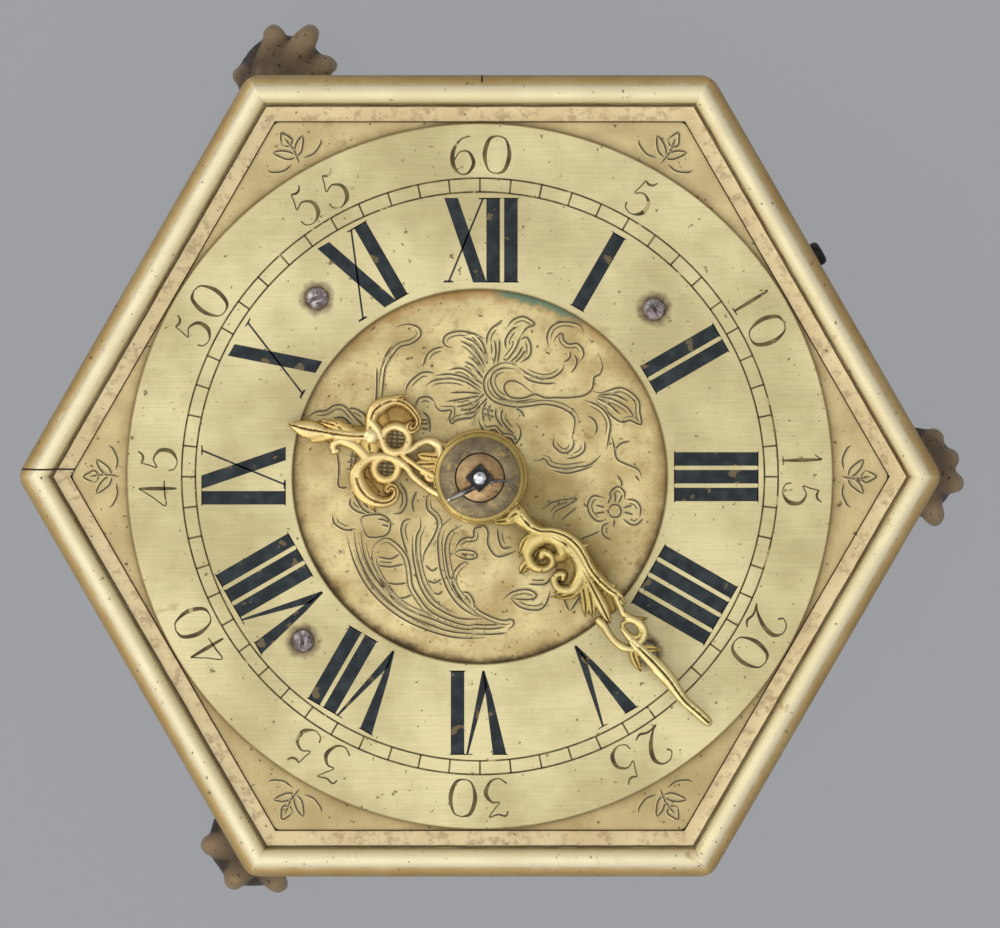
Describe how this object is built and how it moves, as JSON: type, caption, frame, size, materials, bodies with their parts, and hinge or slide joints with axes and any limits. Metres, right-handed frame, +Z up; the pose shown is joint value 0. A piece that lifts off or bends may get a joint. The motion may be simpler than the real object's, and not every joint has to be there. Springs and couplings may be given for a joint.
{
  "type": "horizontal table clock",
  "caption": "Hexagonal gilt-brass horizontal table clock: dial on top, pierced hands, glazed sides, claw-and-ball feet, hinged case, catch, fusee and verge movement.",
  "frame": {"origin": "on the surface the clock stands on, under the dial's axis", "axes": "+Z up along the hands' axis, +Y towards twelve o'clock, +X towards three o'clock"},
  "size_m": [0.1469, 0.1368, 0.076],
  "materials": {
    "gilt_case": "worn fire gilding, polished mouldings",
    "gilt_dial": "pale gilding, engraved, lightly brushed",
    "gilt_hands": "chased gilt brass",
    "bronze_feet": "brown patinated cast bronze",
    "movement_brass": "finished brass",
    "steel": "grey polished steel, light rust",
    "dark_steel": "darkened steel",
    "glass": "clear window glass"
  },
  "bodies": {
    "base": {"base_plate": "gilt_case", "base_moulding": "gilt_case", "paw_foot_right": "bronze_feet", "paw_foot_upper_left": "bronze_feet", "paw_foot_lower_left": "bronze_feet", "base_hinge_leaf": "gilt_case", "hinge_pin": "steel", "catch_spring": "dark_steel"},
    "catch": {"catch_button": "dark_steel"},
    "centre": {"centre_arbor": "steel", "centre_wheel": "movement_brass"},
    "third": {"third_arbor": "steel", "third_wheel": "movement_brass"},
    "contrate": {"contrate_arbor": "steel", "contrate_wheel": "movement_brass"},
    "escape": {"escape_arbor": "steel", "escape_wheel": "movement_brass"},
    "balance": {"verge_staff": "steel", "balance_wheel": "movement_brass"},
    "fusee": {"fusee_arbor": "steel", "fusee": "movement_brass", "great_wheel": "movement_brass"},
    "barrel": {"mainspring_barrel": "movement_brass"},
    "minute": {"cannon_pinion": "steel", "minute_hand": "gilt_hands", "hand_collet": "steel", "hand_pin": "dark_steel"},
    "hour": {"hour_wheel": "movement_brass", "hour_hand": "gilt_hands"},
    "minute_wheel": {"minute_wheel": "movement_brass"},
    "case": {"case_hinge_leaf": "gilt_case", "catch_hook": "steel", "wall_upper_right": "gilt_case", "wall_top": "gilt_case", "wall_upper_left": "gilt_case", "wall_lower_left": "gilt_case", "wall_bottom": "gilt_case", "wall_lower_right": "gilt_case", "window_frames": "gilt_case", "window_panes": "glass", "top_moulding": "gilt_case", "dial_plate": "gilt_dial", "chapter_ring": "gilt_dial", "dial_screws": "steel", "dial_posts": "movement_brass", "front_plate": "movement_brass", "back_plate": "movement_brass", "plate_pillars": "movement_brass", "pillar_pins": "steel", "hairspring": "dark_steel", "balance_cock": "movement_brass", "cock_screw": "steel", "potence": "movement_brass", "counter_potence": "movement_brass", "barrel_arbor": "steel", "setup_ratchet": "steel", "setup_click": "steel", "fusee_chain": "dark_steel", "minute_wheel_post": "steel"}
  },
  "joints": [
    {"name": "case_hinge", "type": "hinge", "parent": "base", "child": "case", "pos_m": [-0.05144, -0.0297, 0.02605], "axis": [0.5, -0.866, 0], "range_deg": [0, 95]},
    {"name": "catch_press", "type": "slide", "parent": "base", "child": "catch", "axis": [-0.866, -0.5, 0], "range_m": [0, 0.0015], "stiffness_N_per_m": 300, "springref_m": -0.001},
    {"name": "minute_hand_turn", "type": "hinge", "parent": "case", "child": "minute", "pos_m": [0, 0, 0.0308], "axis": [0, 0, -1], "continuous": true},
    {"name": "hour_hand_turn", "type": "hinge", "parent": "case", "child": "hour", "pos_m": [0, 0, 0.0308], "axis": [0, 0, -1], "continuous": true},
    {"name": "minute_wheel_turn", "type": "hinge", "parent": "case", "child": "minute_wheel", "pos_m": [0.0072, 0.01247, 0.0308], "axis": [0, 0, -1], "continuous": true},
    {"name": "contrate_wheel_turn", "type": "hinge", "parent": "case", "child": "contrate", "pos_m": [0.01192, 0.02052, 0.0308], "axis": [0, 0, -1], "continuous": true},
    {"name": "third_wheel_turn", "type": "hinge", "parent": "case", "child": "third", "pos_m": [-0.00313, 0.01773, 0.0308], "axis": [0, 0, -1], "continuous": true},
    {"name": "centre_arbor_turn", "type": "hinge", "parent": "case", "child": "centre", "pos_m": [0, 0, 0.0308], "axis": [0, 0, -1], "continuous": true},
    {"name": "fusee_turn", "type": "hinge", "parent": "case", "child": "fusee", "pos_m": [-0.0172, -0.01205, 0.0308], "axis": [0, 0, -1], "continuous": true},
    {"name": "barrel_turn", "type": "hinge", "parent": "case", "child": "barrel", "pos_m": [0.01637, -0.01755, 0.0308], "axis": [0, 0, -1], "continuous": true},
    {"name": "escape_wheel_turn", "type": "hinge", "parent": "case", "child": "escape", "pos_m": [-0.00748, 0.02052, 0.0398], "axis": [1, 0, 0], "continuous": true},
    {"name": "balance_swing", "type": "hinge", "parent": "case", "child": "balance", "pos_m": [-0.01268, 0.02052, 0.026], "axis": [0, 0, 1], "range_deg": [-110, 110], "stiffness_Nm_per_rad": 0.00005}
  ],
  "couplings": [
    {"joint": "hour_hand_turn", "follows": "minute_hand_turn", "ratio": 0.083333},
    {"joint": "minute_wheel_turn", "follows": "minute_hand_turn", "ratio": -0.33333},
    {"joint": "escape_wheel_turn", "follows": "contrate_wheel_turn", "ratio": -8},
    {"joint": "third_wheel_turn", "follows": "contrate_wheel_turn", "ratio": -0.13333},
    {"joint": "centre_arbor_turn", "follows": "contrate_wheel_turn", "ratio": 0.016667},
    {"joint": "fusee_turn", "follows": "contrate_wheel_turn", "ratio": -0.0027778},
    {"joint": "barrel_turn", "follows": "contrate_wheel_turn", "ratio": -0.0015737}
  ]
}
